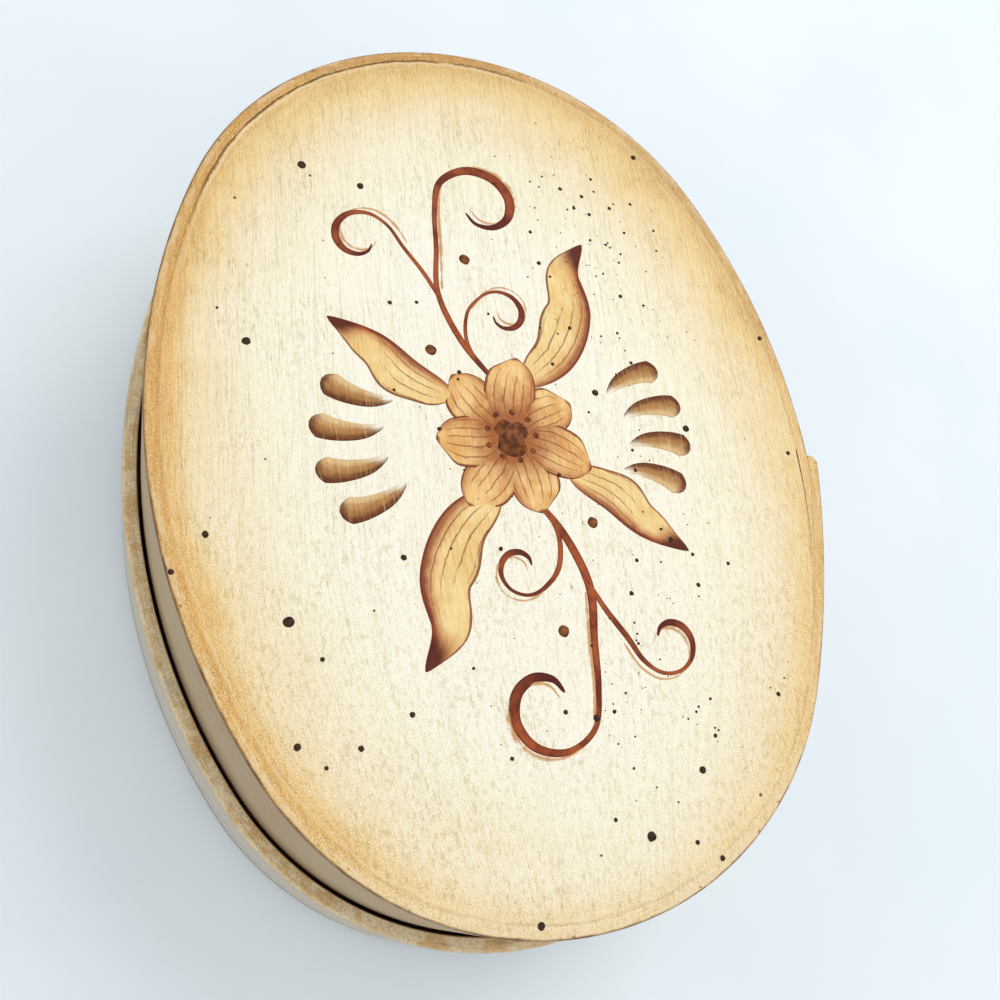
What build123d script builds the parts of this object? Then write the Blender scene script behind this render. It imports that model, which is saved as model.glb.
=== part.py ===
from build123d import *
from math import atan2, cos, degrees, radians, sin, sqrt
import os

# An oval bentwood box in two halves. Each half is a flat oval board held by a bent
# band whose ends lap on one long side. The deep cover stands inside the shallow base,
# on the base's board, and lifts straight off. Millimetres, +Z up, the origin at the
# middle of the base's underside, +X along the oval, the laps on the +Y side.

# Driving sizes: the oval that the cover's band follows on its outside
cover_length = 210.0
cover_width = 156.0
side_radius = 150.0

# Driving sizes: heights and wood thicknesses
overall_height = 62.0
base_band_height = 26.0
cover_band_thickness = 2.8
base_band_thickness = 3.2
cover_board_thickness = 4.0
base_board_thickness = 4.0

# Driving sizes: clearances and edges
nest_gap = 1.0
board_fit = 0.15
glue_line = 0.1
edge_round = 0.6
edge_cut_reach = 0.3

# Driving sizes: the cover's lap, as distances along its long side from the middle
cover_lap_end = 8.5
cover_lap_length = 52.0
cover_lap_tip = 0.4

# Driving sizes: the base's lap, which bridges the cover's lap and then its own end
base_rise_length = 56.0
base_lap_length = 26.0
base_end_clearance = 2.0

# Driving sizes: the brads
brad_radius = 0.6
brad_head_radius = 1.2
brad_head_thickness = 0.5
brad_head_sink = 0.1
brad_point_length = 1.5
brad_tip_length = 0.3
brad_fit = 0.05
board_brad_length = 11.0
board_brad_count = 9
board_brad_first_bearing = 103.0
lap_brad_inset = 7.0
lap_brad_end_gap = 0.2
cover_lap_brad_count = 4
cover_lap_brad_margin = 8.0
base_lap_brad_count = 3
base_lap_brad_margin = 6.5

# The four-centre oval that follows from the driving sizes
half_length = cover_length / 2
half_width = cover_width / 2
end_radius = (2 * side_radius * half_width - half_length**2 - half_width**2) / (
    2 * (side_radius - half_length)
)
end_centre = half_length - end_radius
side_centre = side_radius - half_width
end_half_angle = degrees(atan2(side_centre, end_centre))
side_reach = side_radius * radians(90 - end_half_angle)

# Levels and offsets from the cover's outer face, shared by everything that nests
cover_foot = base_board_thickness
cover_band_height = overall_height - cover_foot
cover_board_level = overall_height - cover_board_thickness
cover_inside = -cover_band_thickness
base_inside = nest_gap
base_outside = nest_gap + base_band_thickness
cover_rise = cover_band_thickness + glue_line
base_rise = base_band_thickness + glue_line

# Places along the +Y side where each lap ends, stands full and begins
cover_lap_foot = cover_lap_end + cover_lap_length
cover_under_end = cover_lap_foot - cover_lap_length * sqrt((cover_lap_tip + glue_line) / cover_rise)
base_lap_crest = cover_lap_end
base_lap_foot = base_lap_crest + base_rise_length
base_under_end = base_lap_crest - base_end_clearance
base_lap_end = base_under_end - base_lap_length


def direction(bearing):
    """Unit vector that points along a bearing in degrees, from +X towards +Y."""
    return Vector(cos(radians(bearing)), sin(radians(bearing)))


def oval_point(bearing, offset):
    """Point of the oval whose outward normal has a bearing, moved out by an offset."""
    turn = (bearing + 180) % 360 - 180
    if abs(turn) <= end_half_angle:
        centre, radius = Vector(end_centre, 0), end_radius
    elif abs(turn) >= 180 - end_half_angle:
        centre, radius = Vector(-end_centre, 0), end_radius
    elif turn > 0:
        centre, radius = Vector(0, -side_centre), side_radius
    else:
        centre, radius = Vector(0, side_centre), side_radius
    return centre + direction(bearing) * (radius + offset)


def bearing_at(place):
    """Bearing of a place, so far along the cover's face from the middle of +Y towards +X."""
    if place < 0:
        return 180 - bearing_at(-place)
    along_end = max(place - side_reach, 0)
    along_side = place - along_end
    return 90 - degrees(along_side / side_radius + along_end / end_radius)


def oval_arcs(offset, start, stop):
    """Arcs of the oval from one bearing round to a larger one, at an offset."""
    joins = [half * 180 + side * end_half_angle for half in range(-3, 4) for side in (-1, 1)]
    stops = [start] + sorted(join for join in joins if start < join < stop) + [stop]
    return [
        ThreePointArc(oval_point(a, offset), oval_point((a + b) / 2, offset), oval_point(b, offset))
        for a, b in zip(stops, stops[1:])
    ]


def course_arcs(course, places):
    """Arcs along the lap's side through some places, where course gives how far out they run."""
    joins = [join for join in (-side_reach, side_reach) if min(places) < join < max(places)]
    stops = sorted(list(places) + joins)
    corners = [(a, (a + b) / 2, b) for a, b in zip(stops, stops[1:])]
    return [
        ThreePointArc(*[oval_point(bearing_at(place), course(place)) for place in corner])
        for corner in corners
    ]


def cover_swell(place):
    """How far the cover's band stands proud of its plain course at a place on its lap."""
    share = (cover_lap_foot - place) / cover_lap_length
    return cover_rise * max(share, 0) ** 2


def base_swell(place):
    """The same for the base's band, which rises in an easy S and then runs level."""
    share = min(max((base_lap_foot - place) / base_rise_length, 0), 1)
    if share < 0.5:
        return base_rise * 2 * share**2
    return base_rise * (1 - 2 * (1 - share) ** 2)


def cover_lap_arcs(offset):
    """Faces of the cover's outer layer, from the lap's end to its foot."""
    places = (cover_lap_end, cover_under_end, cover_lap_foot)
    return course_arcs(lambda place: offset + cover_swell(place), places)


def base_lap_arcs(offset, end):
    """Faces of the base's outer layer, from a place on the level run to the foot."""
    middle = (base_lap_crest + base_lap_foot) / 2
    places = (end, base_lap_crest, middle, base_lap_foot)
    return course_arcs(lambda place: offset + base_swell(place), places)


def scarf(place):
    """How far out the cover's inner layer runs where it thins to its tip under the lap."""
    return cover_swell(place) - cover_rise


def cover_outer_arcs():
    """The outer face of the cover's band, all the way round from end to end."""
    round_the_oval = oval_arcs(0, bearing_at(cover_lap_end) - 360, bearing_at(cover_lap_foot))
    return round_the_oval + cover_lap_arcs(0)


def base_outer_arcs():
    """The outer face of the base's band, as far as its outer layer leaves it open."""
    start = bearing_at(base_under_end) - 360
    round_the_oval = oval_arcs(base_outside, start, bearing_at(base_lap_foot))
    return round_the_oval + base_lap_arcs(base_outside, base_lap_end)


def cover_band_face():
    """Outline of the cover's band: one strip, with its thinned inner end under the lap."""
    foot = bearing_at(cover_lap_foot)
    end = bearing_at(cover_lap_end)
    under = bearing_at(cover_under_end)
    end_cut = Line(oval_point(end, cover_rise), oval_point(end, glue_line))
    tip_cut = Line(oval_point(under, scarf(cover_under_end)), oval_point(under, cover_inside))
    edges = cover_outer_arcs()
    edges += course_arcs(scarf, (cover_lap_end, cover_under_end)) + [tip_cut]
    edges += oval_arcs(cover_inside, under - 360, foot)
    edges += cover_lap_arcs(cover_inside) + [end_cut]
    return Face(Wire(edges))


def base_band_face():
    """Outline of the base's band: one strip that bridges the cover's lap."""
    foot = bearing_at(base_lap_foot)
    end = bearing_at(base_lap_end)
    under = bearing_at(base_under_end)
    end_cut = Line(
        oval_point(end, base_outside + base_rise), oval_point(end, base_inside + base_rise)
    )
    under_cut = Line(oval_point(under, base_outside), oval_point(under, base_inside))
    edges = base_outer_arcs()
    edges += [under_cut] + oval_arcs(base_inside, under - 360, foot)
    edges += base_lap_arcs(base_inside, base_lap_end) + [end_cut]
    return Face(Wire(edges))


def cover_board_face():
    """Outline of the cover's board, a plain oval inside the band."""
    return Face(Wire(oval_arcs(cover_inside - board_fit, 0, 360)))


def base_board_face():
    """Outline of the base's board, which fills the band's swell beside the lap too."""
    edge = base_inside - board_fit
    foot = bearing_at(base_lap_foot)
    start = base_under_end + board_fit
    step = Line(
        oval_point(bearing_at(start), edge), oval_point(bearing_at(start), edge + base_rise)
    )
    edges = oval_arcs(edge, bearing_at(start) - 360, foot) + [step] + base_lap_arcs(edge, start)
    return Face(Wire(edges))


def turned(profile):
    """Solid turned about the X axis from corners given as distance along and radius."""
    return revolve(make_face(Polyline(*[(x, 0, r) for x, r in profile], close=True)), Axis.X)


def brad(length, point_length):
    """Wire brad along +X, its head just under the surface at the origin."""
    neck = brad_head_sink + brad_head_thickness
    corners = [(brad_head_sink, 0), (brad_head_sink, brad_head_radius), (neck, brad_head_radius)]
    corners += [(neck, brad_radius), (length - point_length, brad_radius), (length, 0)]
    return turned(corners)


def brad_hole(length):
    """The hole that a brad needs: room for its head, out past the surface, and its shank."""
    head = brad_head_radius + brad_fit
    shank = brad_radius + brad_fit
    neck = brad_head_sink + brad_head_thickness + brad_fit
    end = length + brad_fit
    corners = [(-head, 0), (-head, head), (neck, head), (neck, shank), (end, shank), (end, 0)]
    return turned(corners)


def drive(shape, bearing, offset, level):
    """Put a brad or its hole at a place on the oval, pointing into the wood."""
    spot = oval_point(bearing, offset)
    return Pos(spot.X, spot.Y, level) * Rot(0, 0, bearing + 180) * shape


def around(shape, offset, level):
    """Copies of a brad or its hole all round a band, where it holds its board."""
    step = 360 / board_brad_count
    bearings = [board_brad_first_bearing + step * n for n in range(board_brad_count)]
    return [drive(shape, bearing, offset, level) for bearing in bearings]


def up_the_lap(shape, place, offset, levels):
    """Copies of a brad or its hole in a row up a lap."""
    return [drive(shape, bearing_at(place), offset, level) for level in levels]


def spread(low, high, margin, count):
    """Levels spaced evenly between two levels, clear of both by a margin."""
    pitch = (high - low - 2 * margin) / (count - 1)
    return [low + margin + pitch * n for n in range(count)]


def standing(outline, level, height):
    """An outline made solid from a level up."""
    return Pos(0, 0, level) * extrude(outline, height, dir=(0, 0, 1))


def rounded_rim(band, outer_arcs, level):
    """A band with the upper edge of its outer face rounded, one arc after another."""
    size = edge_round + edge_cut_reach
    corner = Rectangle(size, size, align=(Align.MIN, Align.MIN)) - Circle(edge_round)
    sliver = Pos(-edge_round, -edge_round) * corner
    for arc in outer_arcs:
        path = Pos(0, 0, level) * arc
        outward = (path @ 0 - path.arc_center).normalized()
        across = Plane(path @ 0, x_dir=outward, z_dir=outward.cross(Vector(0, 0, 1)))
        band = band - sweep(across * sliver, path=path)
    return band


def drilled(solid, holes):
    """A solid with every hole cut out of it."""
    for hole in holes:
        solid = solid - hole
    return solid


# The brads that go in through each band all round and hold its board
cover_board_middle = cover_board_level + cover_board_thickness / 2
base_board_middle = base_board_thickness / 2
board_brad = brad(board_brad_length, brad_point_length)
board_brad_hole = brad_hole(board_brad_length)
cover_board_brads = around(board_brad, 0, cover_board_middle)
cover_board_holes = around(board_brad_hole, 0, cover_board_middle)
base_board_brads = around(board_brad, base_outside, base_board_middle)
base_board_holes = around(board_brad_hole, base_outside, base_board_middle)

# The brads that hold the two layers of each lap, as long as both layers are thick
cover_lap_place = cover_lap_end + lap_brad_inset
cover_lap_face = cover_swell(cover_lap_place)
cover_lap_depth = cover_lap_face + cover_band_thickness - lap_brad_end_gap
cover_lap_levels = spread(cover_foot, overall_height, cover_lap_brad_margin, cover_lap_brad_count)
cover_lap_row = (cover_lap_place, cover_lap_face, cover_lap_levels)
cover_lap_brads = up_the_lap(brad(cover_lap_depth, brad_tip_length), *cover_lap_row)
cover_lap_holes = up_the_lap(brad_hole(cover_lap_depth), *cover_lap_row)

base_lap_place = base_lap_end + lap_brad_inset
base_lap_face = base_outside + base_rise
base_lap_depth = base_lap_face - base_inside - lap_brad_end_gap
base_lap_levels = spread(0, base_band_height, base_lap_brad_margin, base_lap_brad_count)
base_lap_row = (base_lap_place, base_lap_face, base_lap_levels)
base_lap_brads = up_the_lap(brad(base_lap_depth, brad_tip_length), *base_lap_row)
base_lap_holes = up_the_lap(brad_hole(base_lap_depth), *base_lap_row)

# The wooden pieces
cover_strip = standing(cover_band_face(), cover_foot, cover_band_height)
base_strip = standing(base_band_face(), 0, base_band_height)
cover_band = rounded_rim(cover_strip, cover_outer_arcs(), overall_height)
base_band = rounded_rim(base_strip, base_outer_arcs(), base_band_height)
cover_board = standing(cover_board_face(), cover_board_level, cover_board_thickness)
base_board = standing(base_board_face(), 0, base_board_thickness)

parts = {
    "cover_band": drilled(cover_band, cover_board_holes + cover_lap_holes),
    "cover_board": drilled(cover_board, cover_board_holes),
    "cover_board_brads": Compound(children=cover_board_brads),
    "cover_lap_brads": Compound(children=cover_lap_brads),
    "base_band": drilled(base_band, base_board_holes + base_lap_holes),
    "base_board": drilled(base_board, base_board_holes),
    "base_board_brads": Compound(children=base_board_brads),
    "base_lap_brads": Compound(children=base_lap_brads),
}

os.makedirs("parts", exist_ok=True)
for name, shape in parts.items():
    export_step(shape, f"parts/{name}.step")
    box = shape.bounding_box()
    print(f"{name}: {box.size.X:.1f} x {box.size.Y:.1f} x {box.size.Z:.1f} mm")
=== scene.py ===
# %% [markdown]
# An oval bentwood box with a painted cover. The packed CAD model sets every size and
# place and is loaded first as a fixed frame. Blender adds what a drawing leaves out:
# worn edges, brushed paint, wood grain and ornament. Lengths are in metres, so
# millimetres are multiplied by mm.

# %% Load the packed model
import bmesh
import bpy
import math
import random
from mathutils import Matrix, Vector, noise


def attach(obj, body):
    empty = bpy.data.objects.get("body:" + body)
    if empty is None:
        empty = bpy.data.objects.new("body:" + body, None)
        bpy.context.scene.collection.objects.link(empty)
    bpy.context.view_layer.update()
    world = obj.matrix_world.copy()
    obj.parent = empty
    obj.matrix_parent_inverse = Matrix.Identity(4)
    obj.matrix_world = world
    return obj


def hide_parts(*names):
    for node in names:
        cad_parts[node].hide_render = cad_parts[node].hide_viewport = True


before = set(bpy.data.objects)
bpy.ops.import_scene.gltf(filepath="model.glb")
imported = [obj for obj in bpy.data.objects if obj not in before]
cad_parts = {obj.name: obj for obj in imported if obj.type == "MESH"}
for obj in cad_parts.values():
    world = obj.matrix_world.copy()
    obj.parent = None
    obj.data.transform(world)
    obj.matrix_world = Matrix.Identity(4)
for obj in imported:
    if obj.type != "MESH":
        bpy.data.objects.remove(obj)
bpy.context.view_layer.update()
mm = 0.001
print("nodes:", ", ".join(sorted(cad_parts)))

# %% [markdown]
# The camera comes first, because every finish is judged through it. Its place was
# solved from the oval's outline and is given as a direction, a distance and a roll. A
# Track To constraint can't hold a roll this strong, so its axes are worked out here.

# %% Aim the camera
azimuth = math.radians(-51.38)
elevation = math.radians(62.653)
roll = math.radians(44.292)
distance = 293.42 * mm
target = Vector((-5.1, 19.44, 0)) * mm

back = Vector((
    math.cos(elevation) * math.cos(azimuth),
    math.cos(elevation) * math.sin(azimuth),
    math.sin(elevation),
))
level = Vector((0, 0, 1)).cross(back).normalized()
upward = back.cross(level)
camera_x = math.cos(roll) * level + math.sin(roll) * upward
camera_y = math.cos(roll) * upward - math.sin(roll) * level

bpy.ops.object.camera_add()
camera = bpy.context.object
camera.data.sensor_width = 36
camera.data.lens = 36.94
camera.data.clip_start = 10 * mm
turned = Matrix((camera_x, camera_y, back)).transposed().to_4x4()
camera.matrix_world = Matrix.Translation(target + distance * back) @ turned
bpy.context.scene.camera = camera
print("camera at", tuple(round(c, 3) for c in camera.location))

# %% [markdown]
# Shader maths reads best as plain expressions. Wire wraps a node's socket so that
# + - * / and comparisons add Math nodes. Chaining nodes by hand would say the same in
# ten times the lines.

# %% Wrap sockets for shader maths
def adding(operation):
    """A method of Wire that adds one Math node."""
    return lambda self, *others: self.maths(operation, *others)


class Wire:
    """A number or a colour on its way through a material."""

    def __init__(self, finish, socket):
        self.finish = finish
        self.socket = socket

    def __getitem__(self, name):
        return Wire(self.finish, self.socket.node.outputs[name])

    def maths(self, operation, *others):
        return self.finish.node("Math", {"operation": operation}, [self, *others])

    __add__ = __radd__ = adding("ADD")
    __sub__ = adding("SUBTRACT")
    __mul__ = __rmul__ = adding("MULTIPLY")
    __truediv__ = adding("DIVIDE")
    __pow__ = adding("POWER")
    __gt__ = adding("GREATER_THAN")
    __lt__ = adding("LESS_THAN")
    __abs__ = adding("ABSOLUTE")
    least = adding("MINIMUM")
    most = adding("MAXIMUM")

    def __rsub__(self, other):
        return self * -1 + other

    def ramp(self, low, high, to_low=0, to_high=1):
        """Ease from one value to another as this one goes from low to high."""
        settings = {"interpolation_type": "SMOOTHSTEP"}
        return self.finish.node("MapRange", settings, [self, low, high, to_low, to_high])

    def fade(self, low, high, *to):
        """The same for a length, with low and high in millimetres."""
        return self.ramp(low * mm, high * mm, *to)


print("a wire also knows:", *[name for name in vars(Wire) if name[0] != "_"])

# %% [markdown]
# Finish holds one material and has a single method for every node that isn't Math. Its
# colours are screen colours, 0 to 255 a channel, turned into the linear ones of shaders
# as they are put in. Paint lies in thin coats, and so do its nodes.

# %% Wrap a material
unitless = 1 / mm


def tint(red, green, blue):
    """A screen colour of 0 to 255 a channel as the linear one that shaders use."""
    shares = [channel / 255 for channel in (red, green, blue)]
    return (*[s / 12.92 if s <= 0.04045 else ((s + 0.055) / 1.055) ** 2.4 for s in shares], 1)


class Finish:
    """One material and the nodes that make it."""

    def __init__(self, name, specular=0.5):
        self.material = bpy.data.materials.new(name)
        self.material.use_nodes = True
        self.tree = self.material.node_tree
        self.shader = self.tree.nodes["Principled BSDF"]
        self.place = self.node("TexCoord")["Object"]
        self.flat = self.place["UV"]
        self.feed(Specular_IOR_Level=specular)

    def put(self, value, socket):
        if isinstance(value, Wire):
            self.tree.links.new(value.socket, socket)
        else:
            socket.default_value = value

    def node(self, kind, settings=None, values=()):
        """Add any node: its settings first, then its inputs in order or by name."""
        made = self.tree.nodes.new("ShaderNode" + kind)
        for name, value in (settings or {}).items():
            if name == "stops":
                self.set_stops(made.color_ramp, value)
            else:
                setattr(made, name, value)
        shown = [socket for socket in made.inputs if socket.enabled]
        if isinstance(values, dict):
            by_name = {socket.name: socket for socket in shown}
            pairs = [(value, by_name[name]) for name, value in values.items()]
        else:
            pairs = zip(values, shown)
        for value, socket in pairs:
            self.put(value, socket)
        return Wire(self, next(socket for socket in made.outputs if socket.enabled))

    def set_stops(self, ramp, stops):
        ends = ramp.elements[0], ramp.elements[1]
        for element, (position, colour) in zip(ends, (stops[0], stops[-1])):
            element.position = position
            element.color = tint(*colour)
        for position, colour in stops[1:-1]:
            ramp.elements.new(position).color = tint(*colour)

    def mix(self, share, first, second, how="MIX"):
        """Mix two colours, each a wire or the red, green and blue of a screen colour."""
        pair = [each if isinstance(each, Wire) else tint(*each) for each in (first, second)]
        return self.node("Mix", {"data_type": "RGBA", "blend_type": how}, [share, *pair])

    def coats(self, colour, *layers):
        """Lay coats over a colour, each a share, a colour and, if need be, how it mixes."""
        for share, coat, *how in layers:
            colour = self.mix(share, colour, coat, *how)
        return colour

    def shift(self, vector, by):
        return self.node("VectorMath", {"operation": "ADD"}, [vector, (by, by, by)])

    def stretch(self, vector, scale):
        return self.node("VectorMath", {"operation": "MULTIPLY"}, [vector, scale])

    def cloud(self, vector, size, detail, roughness=0.5, shift=0):
        """Soft noise from 0 to 1 with features of about a size in millimetres."""
        spot = self.shift(vector, shift) if shift else vector
        scale = 1 / (size * mm)
        values = {"Vector": spot, "Scale": scale, "Detail": detail, "Roughness": roughness}
        return self.node("TexNoise", None, values)

    def streaks(self, vector, along, size, *rest):
        """The same noise, drawn out along X by making X count less."""
        return self.cloud(self.stretch(vector, (along, 1, 1)), size, *rest)

    def feed(self, **inputs):
        """Set the shader's sockets, with _ for a space in their names."""
        for name, value in inputs.items():
            self.put(value, self.shader.inputs[name.replace("_", " ")])

    def bump(self, height, strength, depth):
        values = {"Strength": strength, "Distance": depth * mm, "Height": height}
        self.feed(Normal=self.node("Bump", None, values))

    def count(self):
        print(self.material.name, "has", len(self.tree.nodes), "nodes")


print("a mid grey is written as", round(tint(128, 128, 128)[0], 3))

# %% [markdown]
# The table is a plain pale sheet with a cool cast. The light is a broad soft lamp high
# over the far corner and a dim even sky, as beside a window. The sky that lights the
# box is kept apart from the one that the camera sees, so that the background can be
# pale without adding light.

# %% Lay the table
def deselect():
    for each in bpy.context.selected_objects:
        each.select_set(False)


def dress(piece, outside, inside=None):
    """Give a piece its finish, and another to its underside and inward faces."""
    piece.data.materials.clear()
    piece.data.materials.append(outside.material)
    if inside:
        piece.data.materials.append(inside.material)
        for face in piece.data.polygons:
            inward = face.center.xy.normalized().dot(face.normal.xy) < -0.5
            face.material_index = int(inward or face.normal.z < -0.5)


sheet = Finish("table_white")
sheet_tone = sheet.cloud(sheet.place, 90, 4).ramp(0.3, 0.7)
sheet_colour = sheet.mix(sheet_tone, (232, 242, 250), (238, 247, 253))
sheet.feed(Base_Color=sheet_colour, Roughness=0.75)
sheet.bump(sheet.cloud(sheet.place, 1.2, 5), 0.15, 0.1)

deselect()
bpy.ops.mesh.primitive_plane_add(size=6)
table = bpy.context.object
table.name = "table"
dress(table, sheet)
print("table:", round(table.dimensions.x), "m across")

# %% Light it
world = bpy.data.worlds.new("studio")
bpy.context.scene.world = world
world.use_nodes = True
nodes = world.node_tree.nodes
links = world.node_tree.links
sky = nodes["Background"]
sky.inputs["Color"].default_value = (0.985, 0.995, 1.0, 1)
sky.inputs["Strength"].default_value = 0.83
seen = nodes.new("ShaderNodeBackground")
seen.inputs["Color"].default_value = tint(232, 241, 250)
rays = nodes.new("ShaderNodeLightPath")
blend = nodes.new("ShaderNodeMixShader")
plain_view = rays.outputs["Is Camera Ray"]
for kind in ("Is Glossy Ray", "Is Transmission Ray"):
    either = nodes.new("ShaderNodeMath")
    either.operation = "MAXIMUM"
    links.new(plain_view, either.inputs[0])
    links.new(rays.outputs[kind], either.inputs[1])
    plain_view = either.outputs["Value"]
links.new(plain_view, blend.inputs["Fac"])
links.new(sky.outputs["Background"], blend.inputs[1])
links.new(seen.outputs["Background"], blend.inputs[2])
links.new(blend.outputs["Shader"], nodes["World Output"].inputs["Surface"])

bpy.ops.object.light_add(type="AREA", location=(-0.55, 0.75, 1.25))
window = bpy.context.object
window.name = "window"
window.data.size = 0.9
window.data.energy = 6.5
window.data.color = (1.0, 0.985, 0.96)
window.rotation_euler = (-window.location).to_track_quat("-Z", "Y").to_euler()
bpy.context.scene.view_settings.view_transform = "Standard"
print("lit by the sky and the", window.name)

# %% [markdown]
# The bands follow a four-centre oval: two arcs for the ends and two flatter ones for
# the sides, as a maker draws it with a compass. A place on it is the distance walked
# along the cover's face, clockwise from the middle of the lap side.

# %% Draw the oval
half_length = 105 * mm
half_width = 78 * mm
side_radius = 150 * mm
end_radius = (2 * side_radius * half_width - half_length**2 - half_width**2) / (
    2 * (side_radius - half_length)
)
end_centre = half_length - end_radius
side_centre = side_radius - half_width
end_half_angle = math.atan2(side_centre, end_centre)
side_reach = side_radius * (math.pi / 2 - end_half_angle)
quarter = side_reach + end_radius * end_half_angle


def turned_by(walked):
    """How far the oval has turned after a walk from the middle of a side."""
    on_end = max(walked - side_reach, 0)
    return (walked - on_end) / side_radius + on_end / end_radius


def bearing_at(place):
    quarters, walked = divmod(place, quarter)
    if quarters % 2:
        return -math.pi / 2 * quarters + turned_by(quarter - walked)
    return math.pi / 2 * (1 - quarters) - turned_by(walked)


def oval_point(bearing, offset, height):
    """Point whose outward normal has a bearing, moved out from the cover's face."""
    across, along = math.sin(bearing), math.cos(bearing)
    if abs(along) * side_centre > abs(across) * end_centre:
        reach = end_radius + offset
        return Vector((math.copysign(end_centre, along) + along * reach, across * reach, height))
    reach = side_radius + offset
    side = -math.copysign(side_centre, across)
    return Vector((along * reach, side + across * reach, height))


print("the oval is", round(4 * quarter / mm), "mm round")

# %% [markdown]
# Each band is made as its maker makes it: a straight strip is sawn and planed, and only
# then bent. In Blender the strip is a stretched cube, which gets its UV map while flat,
# so the grain later follows the bend. An array along a curve would bend it too, but
# couldn't give the lap its rise.

# %% Saw a strip
hair = 1e-6


def pick_edges(piece, test):
    """Select, in edit mode, only the edges that pass a test."""
    bpy.ops.mesh.select_mode(type="EDGE")
    bpy.ops.mesh.select_all(action="DESELECT")
    mesh = bmesh.from_edit_mesh(piece.data)
    for edge in mesh.edges:
        if test(edge):
            edge.select_set(True)
    bmesh.update_edit_mesh(piece.data)


def near(one, other):
    return abs(one - other) < hair


def runs_along(edge):
    """Whether an edge of a flat strip runs lengthwise."""
    one, other = edge.verts
    return near(one.co.y, other.co.y) and near(one.co.z, other.co.z)


def strip(name, start, end, inner, outer, foot, rim):
    """A straight strip in edit mode: X along the band, Y outward and Z up."""
    deselect()
    middle = ((start + end) / 2, (inner + outer) / 2, (foot + rim) / 2)
    bpy.ops.mesh.primitive_cube_add(
        size=1, location=middle, scale=(end - start, outer - inner, rim - foot)
    )
    bpy.ops.object.transform_apply(location=True, rotation=True, scale=True)
    made = bpy.context.object
    made.name = name
    bpy.ops.object.mode_set(mode="EDIT")
    return made


print("lengths count as equal within", hair / mm, "mm")

# %% [markdown]
# Easing rounds a long edge, cuts across let the strip bend, filing takes the corner off
# the end that shows, and squaring off brings the rim back up where the lap's other
# layer has kept it from wear.

# %% Plane it
def ease(piece, test, radius, segments):
    """Round the edges that pass a test."""
    pick_edges(piece, test)
    bpy.ops.mesh.bevel(offset=radius, segments=segments)


def cut_across(piece, times):
    """Cut a flat strip across, evenly, so that it can bend."""
    for cuts in times:
        pick_edges(piece, runs_along)
        bpy.ops.mesh.subdivide(number_cuts=cuts)


def file_end(piece, end, inner, outer, radius):
    """Cut the last stretch of a flat strip finer and file its outer corner round."""
    pick_edges(piece, lambda e: runs_along(e) and min(v.co.x for v in e.verts) < end + hair)
    bpy.ops.mesh.subdivide(number_cuts=9)
    mesh = bmesh.from_edit_mesh(piece.data)
    for vertex in mesh.verts:
        short = radius - max(vertex.co.x - end, 0)
        if short > 0:
            left = outer - inner - radius + math.sqrt(radius**2 - short**2)
            vertex.co.y = inner + (vertex.co.y - inner) * left / (outer - inner)
    bmesh.update_edit_mesh(piece.data)


def square_off(piece, start, outer, rim):
    """Undo the easing of the rim where the other layer of the lap covers it."""
    mesh = bmesh.from_edit_mesh(piece.data)
    for vertex in mesh.verts:
        x, y, z = vertex.co
        if x > start and y > outer - 0.6 * mm and rim - 0.5 * mm < z:
            vertex.co.z = rim - (rim - z) * 0.15
    bmesh.update_edit_mesh(piece.data)


def lay_grain(piece):
    """Give a flat strip a UV map in metres: along the band, and up it and over its rim."""
    sheet_map = piece.data.uv_layers.active.data
    for corner in piece.data.loops:
        spot = piece.data.vertices[corner.vertex_index].co
        sheet_map[corner.index].uv = (spot.x, spot.z + spot.y)


print("ready to plane a strip")

# %% [markdown]
# Bending moves every point of the flat strip to its place on the oval. A lap's outer
# layer runs out over the inner one, so the course says how far out each place lies.
# Nothing made by hand is dead straight, so the rim dips a little here and there.

# %% Bend it round the oval
smooth_below = math.radians(35)


def waver(place, seed):
    """A slow wave between 0 and 1 along the band, the same where the ends meet."""
    angle = math.pi / 2 * place / quarter
    spot = Vector((math.cos(angle), math.sin(angle), seed)) * 3
    return min(max(0.5 + 0.9 * noise.noise(spot), 0), 1)


def bend(piece, course, rim, dip, seed):
    """Bend a flat strip: course gives the offset for a place and a depth in the wood."""
    for vertex in piece.data.vertices:
        place, depth, height = vertex.co
        if height > rim - 2 * mm:
            height -= 0.03 * mm + dip * waver(place, seed)
        vertex.co = oval_point(bearing_at(place), course(place, depth), height)
    deselect()
    piece.select_set(True)
    bpy.context.view_layer.objects.active = piece
    bpy.ops.object.shade_smooth_by_angle(angle=smooth_below)


print("the rim wavers at its middle by", round(waver(quarter, 1.0), 2), "of its dip")

# %% [markdown]
# The cover's band is 2.8 mm thick and 58 mm deep. Its outer end stands as a step on one
# long side with its corner filed round, and its inner end is thinned under it. Wear has
# rounded the rim on the outside; paint has levelled the inside.

# %% Make the cover's band
cover_thickness = 2.8 * mm
cover_foot = 4 * mm
cover_rim = 62 * mm
cover_rise = 2.9 * mm
cover_lap_end = 8.5 * mm
cover_lap_length = 52 * mm
cover_lap_foot = cover_lap_end + cover_lap_length
cover_under_end = 47 * mm
round_the_oval = 4 * quarter


def cover_swell(place):
    return cover_rise * max((cover_lap_foot - place) / cover_lap_length, 0) ** 2


def cover_course(place, depth):
    """Where a depth in the cover's band comes to lie once it is bent."""
    if place < round_the_oval:
        return depth + cover_swell(place)
    under = max(place - round_the_oval, cover_lap_end)
    left = cover_thickness + cover_swell(under) - cover_rise + 0.08 * mm
    return -cover_thickness + (cover_thickness + depth) * left / cover_thickness


def long_edge(depth, height):
    """A test for the strip's long edge at a depth and a height."""
    def is_it(edge):
        spot = edge.verts[0].co
        return runs_along(edge) and near(spot.y, depth) and near(spot.z, height)
    return is_it


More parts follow.
